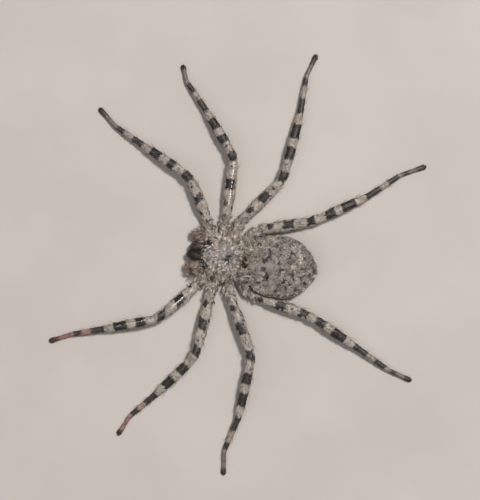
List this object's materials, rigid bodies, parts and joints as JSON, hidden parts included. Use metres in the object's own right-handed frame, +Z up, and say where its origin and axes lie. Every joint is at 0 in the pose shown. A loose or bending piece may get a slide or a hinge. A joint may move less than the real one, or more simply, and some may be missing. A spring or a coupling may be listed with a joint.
{
  "type": "flat wall spider",
  "caption": "Life-size still model of a flattened wall spider with banded, sideways-spread legs, resting on flat leg tips.",
  "frame": {"origin": "on the floor under the middle of the leg span's bounding box", "axes": "+Z up, -Y toward the head, +X the animal's left side"},
  "size_m": [0.0392, 0.0332, 0.0025],
  "materials": {
    "shield": "matte grey cuticle under pale curled hair",
    "abdomen_skin": "soft grey-olive skin with dark dots and short pale hair",
    "leg": "pale pinkish-grey cuticle with near-black bands, slightly glossy",
    "palp": "brown-grey cuticle under shaggy hair",
    "spinneret": "matte grey-brown",
    "jaw": "glossy near-black shell",
    "eye": "polished black lens"
  },
  "bodies": {
    "root": {"prosoma": "shield", "abdomen": "abdomen_skin", "spinnerets": "spinneret", "chelicera_l": "jaw", "chelicera_r": "jaw", "palp_l": "palp", "palp_r": "palp", "eye_front_middle_l": "eye", "eye_front_middle_r": "eye", "eye_front_inner_l": "eye", "eye_front_inner_r": "eye", "eye_front_outer_l": "eye", "eye_front_outer_r": "eye", "eye_rear_l": "eye", "eye_rear_r": "eye", "leg_l1_femur": "leg", "leg_l1_tibia": "leg", "leg_l1_tarsus": "leg", "leg_l2_femur": "leg", "leg_l2_tibia": "leg", "leg_l2_tarsus": "leg", "leg_l3_femur": "leg", "leg_l3_tibia": "leg", "leg_l3_tarsus": "leg", "leg_l4_femur": "leg", "leg_l4_tibia": "leg", "leg_l4_tarsus": "leg", "leg_r1_femur": "leg", "leg_r1_tibia": "leg", "leg_r1_tarsus": "leg", "leg_r2_femur": "leg", "leg_r2_tibia": "leg", "leg_r2_tarsus": "leg", "leg_r3_femur": "leg", "leg_r3_tibia": "leg", "leg_r3_tarsus": "leg", "leg_r4_femur": "leg", "leg_r4_tibia": "leg", "leg_r4_tarsus": "leg"}
  },
  "joints": []
}
